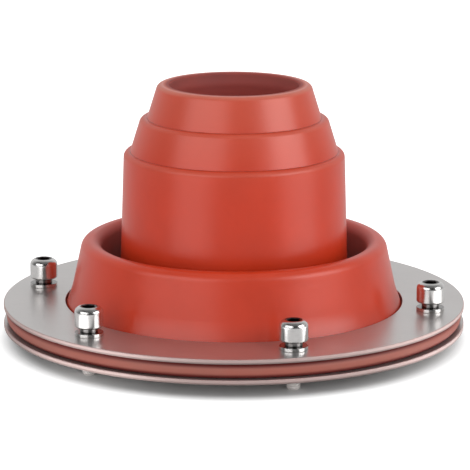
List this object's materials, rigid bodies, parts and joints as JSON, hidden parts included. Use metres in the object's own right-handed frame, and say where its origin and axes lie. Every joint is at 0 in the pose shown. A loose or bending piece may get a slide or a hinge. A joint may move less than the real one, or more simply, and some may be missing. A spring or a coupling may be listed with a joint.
{
  "type": "tent stove jack",
  "caption": "Stepped silicone pipe boot with a folded collar, its flange clamped between steel rings by shouldered cap screws with washers; seals a stove pipe where it passes through tent cloth.",
  "frame": {"origin": "on the pipe's axis, at the level of the screws' lower ends, where the part stands on a flat surface", "axes": "+Z along the pipe's axis, up out of the mouth; +X through the axis of one screw"},
  "size_m": [0.2, 0.2, 0.1112],
  "materials": {
    "red_silicone": "satin moulded",
    "ring_steel": "satin",
    "fastener_steel": "bright"
  },
  "bodies": {
    "root": {"silicone_boot": "red_silicone", "upper_ring": "ring_steel", "lower_ring": "ring_steel", "cap_screws": "fastener_steel", "flat_washers": "fastener_steel"}
  },
  "joints": []
}
